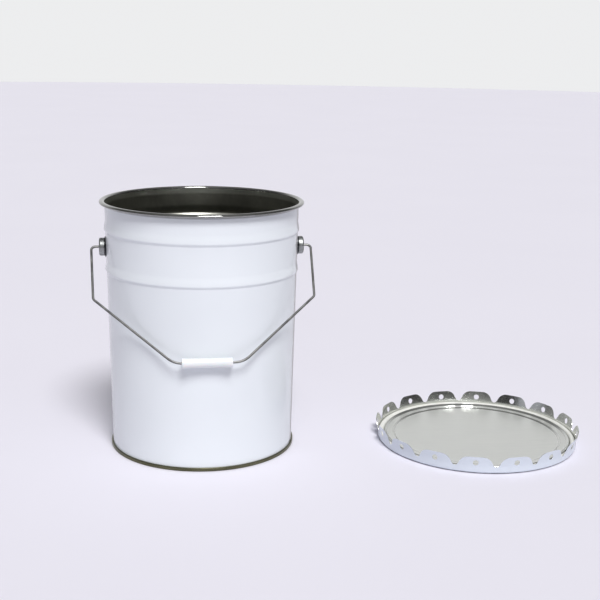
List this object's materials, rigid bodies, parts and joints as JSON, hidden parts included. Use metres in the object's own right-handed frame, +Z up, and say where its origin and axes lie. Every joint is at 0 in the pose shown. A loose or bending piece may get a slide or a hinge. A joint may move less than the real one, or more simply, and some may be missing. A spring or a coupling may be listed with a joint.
{
  "type": "paint pail with lug cover",
  "caption": "Tapered round steel paint pail with a rolled rim, nesting beads, a seamed foot and a hinged wire bail with a plastic grip. Its lug cover lies upside-down beside it.",
  "frame": {"origin": "middle of the footprint of the pail and its cover together, on the surface they stand on", "axes": "+Z up, +X along the pail's ears from the pail towards the cover, the bail resting on the pail's -Y side"},
  "size_m": [0.732, 0.3384, 0.366],
  "materials": {
    "white_enamel": "gloss",
    "lacquered_tinplate": "gold lacquer",
    "sealing_compound": "matte",
    "galvanised_steel": "satin",
    "drawn_wire": "satin",
    "white_polyethylene": "satin",
    "bright_tinplate": "satin",
    "gasket_rubber": "matte"
  },
  "bodies": {
    "pail": {"body_shell": "white_enamel", "bottom_end": "lacquered_tinplate", "bottom_seam_compound": "sealing_compound", "left_ear": "galvanised_steel", "right_ear": "galvanised_steel"},
    "bail": {"bail_wire": "drawn_wire"},
    "grip": {"bail_grip": "white_polyethylene"},
    "cover": {"lid_cover": "bright_tinplate", "lid_gasket": "gasket_rubber"}
  },
  "joints": [
    {"name": "bail_swing", "type": "hinge", "parent": "pail", "child": "bail", "pos_m": [-0.20446, 0.02131, 0.2974], "axis": [-1, 0, 0], "range_deg": [0, 266.6]},
    {"name": "grip_spin", "type": "hinge", "parent": "bail", "child": "grip", "pos_m": [-0.20676, -0.12276, 0.16143], "axis": [1, 0, 0], "continuous": true},
    {"name": "cover_lift", "type": "slide", "parent": "pail", "child": "cover", "axis": [0, 0, 1], "range_m": [0, 0.4]}
  ]
}
